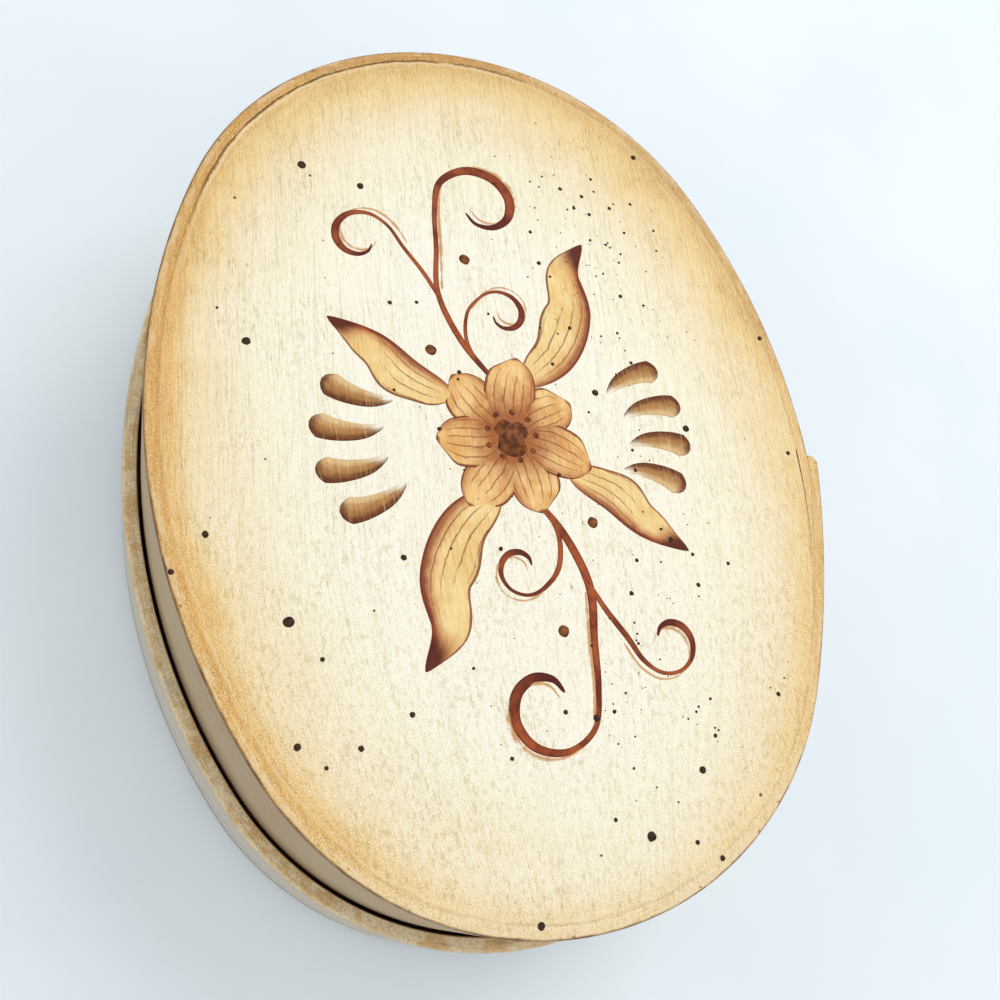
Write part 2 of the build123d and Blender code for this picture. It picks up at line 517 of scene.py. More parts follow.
cover_band = strip(
    "cover_bent_band", cover_lap_end, round_the_oval + cover_under_end,
    -cover_thickness, 0, cover_foot, cover_rim,
)
ease(cover_band, long_edge(0, cover_rim), 0.55 * mm, 4)
ease(cover_band, long_edge(0, cover_foot), 0.3 * mm, 2)
ease(cover_band, long_edge(-cover_thickness, cover_foot), 0.3 * mm, 2)
cut_across(cover_band, (99, 2))
file_end(cover_band, cover_lap_end, -cover_thickness, 0, 2.5 * mm)
square_off(cover_band, round_the_oval + cover_lap_end, 0, cover_rim)
bpy.ops.object.mode_set(mode="OBJECT")
lay_grain(cover_band)
bend(cover_band, cover_course, cover_rim, 0.04 * mm, 1.0)
print("cover band:", len(cover_band.data.vertices), "vertices")

# %% [markdown]
# The base's band is 3.4 mm thick, 26 mm deep and 0.8 mm clear of the cover. Beside the
# cover's lap it swings out in an easy S, bridges it, and laps its own squared end, so
# the clearance stays even all round.

# %% Make the base's band
base_inside = 0.8 * mm
base_outside = 4.2 * mm
base_rim = 26 * mm
base_rise = 3.3 * mm
base_crest = 8.5 * mm
base_rise_length = 56 * mm
base_lap_end = -19.5 * mm
base_under_end = 6.5 * mm


def base_swell(place):
    share = min(max((base_crest + base_rise_length - place) / base_rise_length, 0), 1)
    if share < 0.5:
        return base_rise * 2 * share**2
    return base_rise * (1 - 2 * (1 - share) ** 2)


def base_course(place, depth):
    return depth + (base_swell(place) if place < round_the_oval - 30 * mm else 0)


base_band = strip(
    "base_bent_band", base_lap_end, round_the_oval + base_under_end,
    base_inside, base_outside, 0, base_rim,
)
ease(base_band, long_edge(base_outside, base_rim), 1.1 * mm, 5)
ease(base_band, long_edge(base_inside, base_rim), 0.4 * mm, 3)
ease(base_band, long_edge(base_outside, 0), 0.4 * mm, 2)
cut_across(base_band, (99, 2))
file_end(base_band, base_lap_end, base_inside, base_outside, 1.4 * mm)
bpy.ops.object.mode_set(mode="OBJECT")
lay_grain(base_band)
bend(base_band, base_course, base_rim, 0.3 * mm, 5.0)
print("base band:", len(base_band.data.vertices), "vertices")

# %% [markdown]
# The cover's board is a flat oval sunk a hair below the rim: a circle whose points are
# moved to the oval, extruded down and eased. Paint fills the seam round it, so its edge
# runs a hair into the band, except at one end, where the wood has shrunk, and beside
# the lap.

# %% Cut the cover's board
board_top = 61.92 * mm
board_thickness = 3.92 * mm
shrunken_end = math.radians(216)
lap_end_degrees = 87
opening_degrees = 16


def seam(bearing):
    """How far the board stays clear of the band, which is most at the shrunken end."""
    shrunk = max(math.cos(bearing - shrunken_end), 0) ** 2
    past_lap_end = lap_end_degrees - math.degrees(bearing)
    beside_lap = 0
    if 0 < past_lap_end < opening_degrees:
        beside_lap = 1 - past_lap_end / opening_degrees
    return (0.55 * shrunk + 0.65 * beside_lap - 0.35) * mm


deselect()
bpy.ops.mesh.primitive_circle_add(vertices=360, radius=1, fill_type="NGON")
cover_board = bpy.context.object
cover_board.name = "cover_oval_board"
for vertex in cover_board.data.vertices:
    bearing = math.atan2(vertex.co.y, vertex.co.x)
    vertex.co = oval_point(bearing, -cover_thickness - seam(bearing), board_top)
bpy.ops.object.mode_set(mode="EDIT")
bpy.ops.mesh.select_all(action="SELECT")
down = {"value": (0, 0, -board_thickness)}
bpy.ops.mesh.extrude_region_move(TRANSFORM_OT_translate=down)
bpy.ops.mesh.select_all(action="SELECT")
bpy.ops.mesh.normals_make_consistent(inside=False)
ease(cover_board, lambda e: all(near(v.co.z, board_top) for v in e.verts), 0.1 * mm, 1)
bpy.ops.object.mode_set(mode="OBJECT")
bpy.ops.object.shade_smooth_by_angle(angle=smooth_below)
print("cover board:", len(cover_board.data.polygons), "faces")

# %% [markdown]
# The ornament is painted freehand, so each brush stroke is a thin raised film: a grid
# laid along a smooth line, as wide as the brush was pressed. Its UV map says how far
# along and across the stroke a point lies, by which the paint is shaded. A picture
# wrapped on the board would be flat.

# %% Lay a brush stroke
film_lift = 0.008 * mm
film_crown = 0.014 * mm


def smooth_line(knots, count):
    """Points spread along a smooth line through some knots, given in millimetres."""
    line = [Vector(knot) for knot in knots]
    line = [2 * line[0] - line[1], *line, 2 * line[-1] - line[-2]]
    points = []
    for step in range(count):
        walked = step / (count - 1) * (len(knots) - 1)
        first = min(int(walked), len(knots) - 2)
        t = walked - first
        a, b, c, d = line[first:first + 4]
        bend_part = (2 * a - 5 * b + 4 * c - d) * t**2 + (3 * (b - c) + d - a) * t**3
        points.append(0.5 * (2 * b + (c - a) * t + bend_part))
    return points


def stroke(knots, width, layer, rows, columns):
    """A film of paint along some knots; width gives both half widths for a share along."""
    deselect()
    bpy.ops.mesh.primitive_grid_add(x_subdivisions=rows, y_subdivisions=columns, size=1)
    film = bpy.context.object
    line = smooth_line(knots, rows + 1)
    for vertex in film.data.vertices:
        row = round((vertex.co.x + 0.5) * rows)
        across = 2 * vertex.co.y
        before, after = line[max(row - 1, 0)], line[min(row + 1, rows)]
        ahead = (after - before).normalized()
        aside = Vector((-ahead.y, ahead.x))
        left, right = width(row / rows)
        spot = line[row] + aside * across * (left if across > 0 else right)
        height = board_top + film_lift * (1 + layer) + film_crown * (1 - across**2)
        vertex.co = (spot.x * mm, spot.y * mm, height)
    return film


def gather(name, films):
    """Join the films of one paint into a piece and give them a thickness."""
    deselect()
    for film in films:
        film.select_set(True)
    bpy.context.view_layer.objects.active = films[0]
    bpy.ops.object.join()
    piece = bpy.context.object
    piece.name = name
    shell = piece.modifiers.new("film", "SOLIDIFY")
    shell.thickness = 0.1 * mm
    shell.offset = -1
    bpy.ops.object.modifier_apply(modifier="film")
    bpy.ops.object.shade_smooth()
    return piece


def turned_round(knots):
    """The same knots for the other half of the spray, turned half round."""
    return [(-x, -y) for x, y in knots]


print("a film stands", round((film_lift + film_crown) / mm, 3), "mm proud of the board at most")

# %% [markdown]
# The spray has two like halves, the second turned half round: a stem that curls up at
# its end, two tendrils, two long leaves and a fan of comma strokes, with a dry ochre
# shadow beside each stem. A comma is what a round brush leaves when it is pressed and
# lifted.

# %% Paint the stems
def tapered(widest, start=0.2):
    """A stroke as wide as a brush line, thinner toward both ends and pressed unevenly."""
    def width(share):
        swell = math.sin(math.pi * min(max(share, 0), 1)) ** 0.35
        press = 0.8 + 0.3 * math.sin(9 * share + 40 * start)
        half = widest / 2 * (swell * (1 - start) + start) * press
        return half, half
    return width


def curl(centre, radius, start, turns, count=9, tightening=0.62):
    """Knots of a spiral that closes in on a point."""
    knots = []
    for step in range(count):
        share = step / (count - 1)
        angle = math.radians(start + 360 * turns * share)
        reach = radius * (1 - tightening * share)
        knots.append((centre[0] + reach * math.cos(angle), centre[1] + reach * math.sin(angle)))
    return knots


half_stems = [
    ([(14, 2), (24, 8), (36, 11.5), (48, 10)] + curl((60, -3), 12.0, 100, -0.95), 2.5),
    ([(34, 11), (41, 14), (48, 18)] + curl((50, 28), 8.0, -65, 0.85), 1.7),
    ([(17, 4.5), (24, 6.6), (31, 5.2)] + curl((30.5, -3.5), 6.6, 45, -0.85), 1.5),
]
stems = []
for knots, width in half_stems:
    for side, both in enumerate((knots, turned_round(knots))):
        stems.append(stroke(both, tapered(width, 0.18 + 0.03 * side), 1 + side, 90, 5))
shadows = []
for knots, width in half_stems:
    beside = [(x + 1.1, y - 1.2) for x, y in knots[2:]]
    for both in (beside, turned_round(beside)):
        shadows.append(stroke(both, tapered(width * 0.8), 0, 70, 5))
print("stem strokes:", len(stems))

# %% Paint the leaves
def leaf_width(widest, lobes=3.0, ripple=0.07):
    """A leaf that is broad low down, with a rippled left edge and a plain right one."""
    def width(share):
        full = widest / 2 * (math.sin(math.pi * share**0.75) ** 0.8 + 0.03)
        return full * (1 + ripple * math.sin(2 * math.pi * lobes * share)), full * 0.82
    return width


half_leaves = [
    ([(12, -5), (20, -15), (31, -21), (42, -22), (50, -28)], 13),
    ([(10, 12), (15, 22), (23, 29), (30, 38)], 11),
]
leaves = []
for knots, width in half_leaves:
    for both in (knots, turned_round(knots)):
        leaves.append(stroke(both, leaf_width(width), 2, 48, 14))
print("leaves:", len(leaves))

# %% Paint the flower
petals = []
petal_count = 7
for number in range(petal_count):
    angle = 360 / petal_count * number + 12
    aim = Vector((math.cos(math.radians(angle)), math.sin(math.radians(angle))))
    aside = Vector((-aim.y, aim.x))
    reach = 19 + 1.4 * math.sin(2.3 * number)
    knots = [aim * 3, aim * reach * 0.45 + aside * 0.6, aim * reach * 0.8, aim * reach]
    petals.append(stroke(knots, leaf_width(13.5, 2, 0.04), 3 + number % 2, 36, 14))
print("petals:", len(petals))

# %% Paint the comma strokes
def comma_width(widest):
    def width(share):
        full = widest * (1 - share) ** 0.55 * min(share / 0.16, 1) ** 0.5
        return full * 0.5 + 0.06, full * 0.5 + 0.06
    return width


half_commas = []
for number in range(4):
    angle = math.radians(-90 + 13.5 * (number - 1.5))
    aim = Vector((math.cos(angle), math.sin(angle)))
    aside = Vector((-aim.y, aim.x))
    outer = 46 - 1.5 * abs(number - 1.5)
    half_commas.append([
        aim * outer,
        aim * (outer - 5) + aside * 1.5,
        aim * (outer - 11) + aside * 1.6,
        aim * (outer - 16),
    ])
commas = []
for knots in half_commas:
    for both in (knots, turned_round(knots)):
        commas.append(stroke(both, comma_width(6.4), 1, 56, 10))
print("comma strokes:", len(commas))

# %% Paint the flower's heart and the berries
def dab(centre, radius, layer, sides, seed):
    """A round touch of the brush, not quite a circle."""
    deselect()
    bpy.ops.mesh.primitive_circle_add(vertices=sides, radius=1, fill_type="TRIFAN")
    film = bpy.context.object
    height = board_top + film_lift * (1 + layer)
    for vertex in film.data.vertices:
        out = vertex.co.length
        lump = 1 + 0.22 * noise.noise(Vector((vertex.co.x, vertex.co.y, seed)))
        spot = Vector(centre) + Vector((vertex.co.x, vertex.co.y)) * radius * lump
        vertex.co = (spot.x * mm, spot.y * mm, height + film_crown * (1 - out))
    return film


heart = [dab((0, 0), 4.6, 5, 28, 1.5)]
for number in range(9):
    angle = math.radians(40 * number + 9)
    reach = 5.9 + 0.7 * math.sin(3.1 * number)
    heart.append(dab((reach * math.cos(angle), reach * math.sin(angle)), 0.75, 6, 12, number))
berry = 1.3
for centre in ((45, 3.5), (21.5, 15.5)):
    heart.append(dab(centre, berry, 2, 16, berry))
    heart.append(dab(turned_round([centre])[0], berry, 2, 16, berry + 1))
print("dabs:", len(heart))

# %% [markdown]
# Dark paint flicked off a stiff brush gives the cover an aged look. The large drops
# are listed one by one. The rest fall at random round the middle of one of three flicks,
# from a fixed seed, so every run gives the same spatter.

# %% Flick on the spatter
large_drops = [
    (-69, -39, 1.0), (37, -54, 1.1), (89, 14, 1.0), (-24, -56, 0.9), (-64, -26, 0.8),
    (61, -55, 0.75), (101, -13, 0.8), (-10, 23, 0.8), (0, 45, 0.85), (18, -68, 0.7),
    (26, -29, 0.65), (96, 29, 0.6), (78, 29, 0.8), (-77, 49, 0.7), (58, -32, 0.6),
    (63, -43, 0.6), (-24, 73, 0.6), (64, 7, 0.75), (27, 34, 0.6), (25, -74.9, 0.6),
    (7.6, 72.2, 0.55),
]
drops = [dab((x, y), radius, 7, 14, radius * x) for x, y, radius in large_drops]
random.seed(11)
flicks = [(56, 24, 18), (-48, 30, 16), (0, 5, 55)]
drop_count = 235
while len(drops) < drop_count:
    x, y, spread = random.choice(flicks)
    x = random.gauss(x, spread)
    y = random.gauss(y, spread * 0.75)
    if (x / 98) ** 2 + (y / 71) ** 2 < 1:
        radius = 0.13 + 0.42 * random.random() ** 3
        drops.append(dab((x, y), radius, 7, 9, x))
print("drops:", len(drops))

# %% Gather each paint into a piece
films = [gather(name, strokes) for name, strokes in (
    ("painted_stems", stems),
    ("painted_stem_shadows", shadows),
    ("painted_leaves", leaves),
    ("painted_petals", petals),
    ("painted_commas", commas),
    ("painted_heart_and_berries", heart),
    ("spattered_drops", drops),
)]
print("faces of the films:", [len(film.data.polygons) for film in films])

# %% [markdown]
# The cover's paint is cream with an ochre glaze that deepens toward the rim. A shader
# can work out how far a point lies inside the rim from the arcs that draw the oval, so
# the glaze follows the edge on board and band alike. A mask painted by hand would be
# tied to one mesh.

# %% Measure from the rim
def apart(one, other):
    return (one * one + other * other) ** 0.5


def inside_rim(x, y):
    """How far a point lies inside the cover's outer face."""
    across = abs(y) + side_centre
    to_side = apart(x, across) - side_radius
    to_end = apart(abs(x) - end_centre, y) - end_radius
    on_side = across * end_centre > abs(x) * side_centre
    return (to_end + (to_side - to_end) * on_side) * -1


cream = Finish("brushed_cream_paint", 0.25)
place = cream.place
axes = cream.node("SeparateXYZ", None, [place])
x, y, z = axes["X"], axes["Y"], axes["Z"]
over_rim = z - cover_rim
over_base = z - base_rim
plain = inside_rim(x, y)
on_band = plain.fade(3.4, 2.4)
# The outer layer of the lap stands proud, so the true edge lies further out there
climb = ((cover_lap_foot - x) / cover_lap_length).most(0)
swell = climb * climb * (y > 0) * cover_rise
rim = plain + swell * x.ramp(-20 * mm, cover_lap_end)
edge = plain + swell * (x > cover_lap_end)
cream.count()

# %% [markdown]
# The glaze was wiped on at the rim and rubbed out toward the middle. It lies deeper at
# the far end and on the laps' side, so the distance is leaned and made uneven with soft
# noise. The angle's sine and cosine make a coordinate for streaks that circle the oval.

# %% Spread the glaze
drift = cream.cloud(place, 24, 3) - 0.5
patch = cream.cloud(place, 5, 4, 0.6, 0.3) - 0.5
angle = y.maths("ARCTAN2", x)
circling = [plain / (0.5 * mm), angle.maths("COSINE") * 5, angle.maths("SINE") * 5]
rim_streaks = cream.cloud(cream.node("CombineXYZ", None, circling), unitless, 4, 0.65)
lean = (x * 0.9 - y * 0.45) / (95 * mm)
loose = (rim / (9 * mm)).least(1).most(0)
near_rim = rim.fade(14, 4.2)
reach = rim * (lean * 0.38 + 1.15) + (lean * 1.2 + 1.2) * mm
reach = reach + (drift * 15 * mm + patch * 6 * mm) * (loose * 0.85 + 0.15)
reach = reach + (x * 0.035 - y * 0.07) * rim.fade(8, 22)
reach = reach + (rim_streaks - 0.5) * near_rim * 6 * mm
cream.count()

# %% [markdown]
# A hand never wipes evenly: a yellow veil lies well inside one long side with a ring
# nearer its rim, the far side has more glaze and the near end less. A colour ramp then
# turns the distance into colour, from ochre to cream.

# %% Wipe it unevenly
veil = rim.fade(9, 20) * rim.fade(44, 28) * (x * 0.6 - y).fade(35, 80)
ring = rim.fade(4, 9) * rim.fade(18, 12) * (x * 0.5 - y).fade(72, 85)
far_side = (y * 0.8 - x).fade(50, 90) * rim.fade(20, 8)
pale_end = x.fade(78, 96) * rim.fade(26, 10)
reach = reach + pale_end * 4.5 * mm + on_band * x.fade(50, 95) * 4 * mm
reach = reach - veil * 13 * mm - far_side * 2 * mm - ring * 4 * mm
glaze_width = 52 * mm
colour = cream.node("ValToRGB", {"stops": [
    (0.00, (210, 168, 106)),
    (0.03, (224, 184, 118)),
    (0.06, (230, 192, 126)),
    (0.10, (238, 204, 142)),
    (0.16, (243, 216, 160)),
    (0.24, (246, 226, 182)),
    (0.34, (249, 235, 199)),
    (0.46, (251, 242, 213)),
    (0.64, (253, 248, 225)),
    (1.00, (255, 252, 237)),
]}, [reach / glaze_width])
print("the glaze is about", round(glaze_width / mm), "mm wide")

# %% [markdown]
# The brush left marks along the oval that draw together toward the near end, where the
# paint was dabbed and is mottled. Each kind of mark is noise drawn out along X, whose
# peaks darken the paint and whose hollows lighten it. One noise alone would look like
# wood grain.

# %% Brush it along the oval
closing = (x - 20 * mm).most(0) / (100 * mm)
aside = y * (closing * closing + 1) + x * 0.07 + drift * 2 * mm
swayed = cream.node("CombineXYZ", None, [x, aside, z])
fine = cream.streaks(swayed, 0.022, 0.3, 3, 0.65)
broad = cream.streaks(swayed, 0.016, 2.2, 3, 0.6, 0.7)
dashes = cream.streaks(swayed, 0.1, 0.34, 3, 0.65, 0.2)
mottle = cream.streaks(place, 0.5, 0.9, 4, 0.65, 0.4)
scrubbed = cream.cloud(place, 16, 3, 0.65, 0.9).ramp(0.42, 0.62)
dabbed = x.fade(-20, 55)
lined = 1 - dabbed * 0.5
mottled = scrubbed * 0.35 + dabbed * 0.25 + 0.25
sandy = reach.fade(26, 0)
pale = cream.mix(sandy, (254, 250, 234), (250, 224, 170))
colour = cream.coats(
    colour,
    (mottle.ramp(0.48, 0.68) * mottled, (226, 217, 190), "MULTIPLY"),
    (mottle.ramp(0.46, 0.3) * (dabbed * 0.25 + 0.4), pale),
    (broad.ramp(0.5, 0.8) * 0.3, (232, 222, 198), "MULTIPLY"),
    (broad.ramp(0.4, 0.2) * 0.25, pale),
    (fine.ramp(0.5, 0.64) * lined * 0.5, (220, 214, 190), "MULTIPLY"),
    (fine.ramp(0.42, 0.3) * lined * 0.4, pale),
    (dashes.ramp(0.57, 0.68) * (scrubbed * 0.5 + 0.2) * lined, (192, 188, 168), "MULTIPLY"),
)
cream.count()

# %% [markdown]
# On the band the brush went round with the rim, and a little inside it the glaze has
# pooled in ochre patches, most on one long side. The far end was worked over more
# often. A fine grit lies over all of it.

# %% Brush round the rim
streaked = plain.fade(10, 3)
near_side = (x * 0.25 - y + drift * 60 * mm).fade(15, 65)
near_side = near_side * x.fade(75, 100, 1, 0.15)
far = x.fade(-48, -66) * y.fade(30, 12)
worked = near_side.most(far)
wander = plain + patch * 3 * mm
pooled = wander.fade(1.2, 2.4) * wander.fade(8.5, 4.2)
grit = cream.cloud(place, 0.36, 3, 0.8)
gritty = sandy * 0.15 + dabbed * 0.15 + 0.33
colour = cream.coats(
    colour,
    (streaked * rim_streaks.ramp(0.5, 0.68) * (worked * 0.4 + 0.25), (206, 160, 98)),
    (streaked * rim_streaks.ramp(0.46, 0.32) * 0.6, (251, 233, 192)),
    (on_band * (worked * 0.25 + far * 0.35 + 0.08), (238, 214, 166), "MULTIPLY"),
    (pooled * near_side * 0.6, (244, 214, 152), "MULTIPLY"),
    (grit.ramp(0.5, 0.62) * gritty, (210, 186, 146), "MULTIPLY"),
    (grit.ramp(0.48, 0.36) * (gritty + dabbed * 0.05 + 0.05), pale),
)
cream.count()

# %% [markdown]
# The upright face is darker and smoother and brushed along the band, so it reads the UV
# map that the strip got while flat. Its taupe is partly the paint's own tone and partly
# painted shade, for a face turned away from the light. A painted shade also darkens a
# faint band just above where the base's rim comes to. The face takes over just below the
# rounded edge.

# %% Paint the upright face
lines = cream.streaks(cream.flat, 0.02, 0.8, 3, 0.6)
# Painted shade: a dark band on the wall just above the base's rim, where the gap shades it
painted_gap_shade = (over_base + drift * 8 * mm).fade(12, 0)
painted_gap_shade = painted_gap_shade * (over_base - drift * 14 * mm).fade(-14, 0, 0.15, 1)
# The upright face's taupe is partly its paint and partly painted shade
upright_paint_and_shade = cream.coats(
    cream.mix(lines.ramp(0.3, 0.7), (172, 148, 112), (186, 162, 124)),
    (drift.ramp(-0.1, 0.25) * 0.5, (168, 136, 98)),
    (painted_gap_shade * (lines * 0.7 + 0.2), (118, 96, 74)),
)
colour = cream.mix(over_rim.fade(-0.4, -0.75), colour, upright_paint_and_shade)
print("the upright face starts", round((cover_rim - base_rim) / mm), "mm above the base's rim")

# %% [markdown]
# Dirt marks the seam round the board, most at the far end where it has opened, with a
# pale ridge of paint beside it. Hands have rubbed a pale line along the rim, chipped it
# and worn its corner down to brown wood.

# %% Wear the seam and the rim
wander = plain + (patch * 1.6 + (mottle - 0.5) * 0.8) * mm
seam_line = abs(wander - 2.9 * mm).fade(0.5, 0.1)
broken = cream.cloud(place, 5, 3, 0.6, 1.7).ramp(0.38, 0.52)
seam_dark = seam_line * (far * 0.55 * broken + broken * 0.12)
ridge = abs(wander - 3.7 * mm).fade(0.5, 0.1)
edge = edge + patch * 0.8 * mm
rubbed = edge.fade(0.3, 0.7) * edge.fade(1.9, 1.3)
worn = cream.cloud(place, 9, 3, 0.6, 1.1).ramp(0.45, 0.6)
chips = cream.cloud(place, 2.4, 3, 0.6, 2.3).ramp(0.64, 0.68)
chips = chips * edge.fade(1.5, 0.9) * over_rim.fade(-1.6, -0.8)
corner = edge.fade(0.6, 0.15) * over_rim.fade(-1.1, -0.7)
colour = cream.coats(
    colour,
    (seam_dark, (104, 68, 40)),
    (ridge * (far * 0.25 + 0.12), (250, 232, 196)),
    (rubbed * worn * 0.4, (240, 216, 182)),
    (chips * 0.8, (158, 104, 68)),
    (corner * (worn * 0.25 + 0.7), (110, 68, 38)),
)
cream.count()

# %% [markdown]
# The finest spatter needs no mesh. A Voronoi texture scatters cells, and a dot grows
# round each cell's middle, with a size drawn from the cell's own random colour. The
# marks that colour the paint also raise or sink it a little.

# %% Spatter it and give it relief
def spatter(finish, cell, largest, shift):
    """Dots of paint thrown off a stiff brush, few of them large."""
    moved = finish.shift(finish.place, shift)
    cells = finish.node("TexVoronoi", None, {"Vector": moved, "Scale": 1 / cell})
    chance = finish.node("SeparateColor", None, [cells["Color"]])
    size = chance**3 * largest
    return (cells * cell - size).fade(0.06, 0)


dots = spatter(cream, 7 * mm, 0.42 * mm, 0.5).most(spatter(cream, 19 * mm, 0.9 * mm, 0.9))
colour = cream.mix(dots * 0.85, colour, (74, 56, 42))
cream.feed(Base_Color=colour, Roughness=grit.ramp(0.3, 0.7, 0.42, 0.56))
height = fine * lined * 0.5 + broad * 0.4 + grit * 0.6 + dots * 0.4 - seam_dark * 0.5 - chips
cream.bump(height + on_band * rim_streaks * 0.6, 0.3, 0.08)
cream.count()

# %% [markdown]
# The base is tan wood under a thin grey-white wash, rubbed through along the rim so
# that dirt and golden wood show as blotches. Wash and wood are mixed each as a whole,
# and a mask by height, made ragged with noise, decides where the wash ends.

# %% Wash the base's wood
greywash = Finish("washed_tan_wood", 0.25)
place, flat = greywash.place, greywash.flat
z = greywash.node("SeparateXYZ", None, [place])["Z"]
grain = greywash.streaks(flat, 0.02, 0.6, 4, 0.65)
lines = greywash.streaks(flat, 0.01, 1.8, 3, 0.6, 0.4)
flecks = greywash.streaks(flat, 0.05, 0.5, 3, 0.6, 0.9)
blotch = greywash.cloud(place, 2.6, 4, 0.7)
speckle = greywash.cloud(place, 0.45, 3, 0.75, 0.6)
sand = greywash.cloud(place, 0.4, 3, 0.8, 0.3)
golden = greywash.cloud(place, 8, 3, 0.6, 1.3)
washed = greywash.coats(
    greywash.mix(lines.ramp(0.35, 0.65), (194, 183, 166), (206, 198, 184)),
    (grain.ramp(0.52, 0.75) * 0.5, (178, 162, 136)),
    (blotch.ramp(0.55, 0.8) * 0.3, (190, 170, 138)),
)
bare = greywash.coats(
    greywash.mix(blotch.ramp(0.42, 0.68), (242, 224, 184), (224, 196, 142)),
    (golden.ramp(0.48, 0.6) * 0.7, (214, 170, 104)),
    (golden.ramp(0.44, 0.34) * 0.5, (206, 192, 164)),
    (grain.ramp(0.5, 0.7) * 0.5, (186, 158, 116)),
    (speckle.ramp(0.52, 0.68) * 0.4, (168, 140, 100)),
    (sand.ramp(0.5, 0.6) * 0.4, (156, 124, 84)),
    (sand.ramp(0.46, 0.34) * 0.4, (248, 238, 212)),
    (flecks.ramp(0.45, 0.3) * 0.6, (240, 226, 194)),
    (flecks.ramp(0.55, 0.68) * 0.5, (150, 124, 88)),
)
greywash.count()

# %% Rub the wash through
ragged = z + (blotch - 0.5) * 1.2 * mm + (speckle - 0.5) * 0.6 * mm
rubbed = (ragged - base_rim).fade(-1.1, -0.4)
# Painted shadow: the wash darkens toward the foot, where the band meets the table
painted_foot_shade = (z - (blotch - 0.5) * 5 * mm).fade(5, 1)
dots = spatter(greywash, 11 * mm, 0.4 * mm, 0.5)
colour = greywash.coats(
    washed,
    (rubbed, bare),
    (painted_foot_shade * 0.6, (136, 122, 104)),
    (dots * 0.8, (84, 66, 50)),
)
greywash.feed(Base_Color=colour, Roughness=speckle.ramp(0.3, 0.7, 0.55, 0.75))
greywash.bump(grain * 0.6 + speckle * 0.5 + lines * 0.4, 0.35, 0.1)
greywash.count()

# %% [markdown]
# Inside, the wood is bare. Softwood is pale early wood with thin darker lines of late
# wood, so stretched noise is sharpened into lines and fine fibres are laid over it. The
# grain runs along the oval on the boards and follows the bend on the bands.

# %% Mix the bare wood
def bare_wood(name, along_band):
    wood = Finish(name, 0.25)
    place = wood.flat if along_band else wood.place
    warp = wood.cloud(wood.place, 30, 2)
    rings = wood.streaks(place, 0.03, 3.2, 2, 0.5)
    fibre = wood.streaks(place, 0.03, 0.3, 3, 0.6)
    late = (rings * 9 + warp * 2).maths("PINGPONG", 1.0)
    colour = wood.coats(
        wood.mix(late.ramp(0.55, 1.0) * 0.7, (208, 176, 128), (172, 128, 80)),
        (fibre.ramp(0.5, 0.75) * 0.4, (160, 122, 78)),
        (warp.ramp(0.5, 0.8) * 0.3, (188, 148, 98)),
    )
    wood.feed(Base_Color=colour, Roughness=fibre.ramp(0.3, 0.7, 0.6, 0.78))
    wood.bump(fibre * 0.6 + late * 0.4, 0.3, 0.1)
    return wood


board_wood = bare_wood("bare_board_wood", False)
band_wood = bare_wood("bare_band_wood", True)
board_wood.count()

# %% [markdown]
# Every stroke's UV map says how far along and across it a point lies, and bristle lines
# and blots follow from it. Brown line paint is darkest at its edges and maroon where
# the brush ended. A stem's shadow is so dry that the cream shows through, which Alpha
# gives.

# %% Mix the line paint and its shadow
def stroke_paint(name):
    """A paint that knows how far along and across its stroke a point lies."""
    paint = Finish(name, 0.12)
    sides = paint.node("SeparateXYZ", None, [paint.flat])
    paint.along, paint.across = sides["X"], sides["Y"]
    paint.edge = abs(paint.across - 0.5) * 2
    paint.bristle = paint.cloud(paint.stretch(paint.flat, (2.5, 26, 1)), unitless, 3, 0.6)
    paint.blot = paint.cloud(paint.place, 2.2, 3, 0.6)
    paint.stray, paint.blur = paint.bristle - 0.5, paint.blot - 0.5
    paint.feed(Roughness=paint.bristle.ramp(0.3, 0.7, 0.45, 0.6))
    paint.bump(paint.bristle * 0.6 + paint.blot * 0.4, 0.25, 0.05)
    return paint


brown = stroke_paint("brown_line_paint")
load = brown.cloud(brown.place, 8, 3, 0.6, 0.4)
tip = (brown.along + brown.blur * 0.2).ramp(0.62, 0.88)
brown.feed(Base_Color=brown.coats(
    brown.mix(load.ramp(0.38, 0.62), (106, 40, 24), (168, 84, 44)),
    (brown.bristle.ramp(0.5, 0.75) * 0.5, (196, 120, 72)),
    (brown.edge.ramp(0.4, 0.95) * 0.5, (96, 34, 22)),
    (tip * 0.9, (84, 28, 26)),
))
dry = stroke_paint("dry_ochre_shadow_paint")
colour = dry.mix(dry.bristle.ramp(0.35, 0.7), (206, 144, 84), (230, 184, 124))
covering = (dry.bristle + dry.blot * 0.6 - dry.edge * 0.35).ramp(0.5, 0.78)
dry.feed(Base_Color=colour, Alpha=covering * 0.8)
brown.count()

# %% [markdown]
# Leaves are thin ochre, so the board's own brush marks show through. One long edge is
# shaded, the tip is dark, a few veins follow the brush, and a brown line goes round.

# %% Mix the leaf paint
def let_through(paint, colour):
    """Let the board's own brush marks show through a thin film."""
    marks = paint.streaks(paint.place, 0.06, 0.32, 3, 0.65)
    return paint.coats(
        colour,
        (marks.ramp(0.5, 0.64) * 0.4, (220, 184, 140), "MULTIPLY"),
        (marks.ramp(0.44, 0.3) * 0.35, (255, 234, 186)),
    )


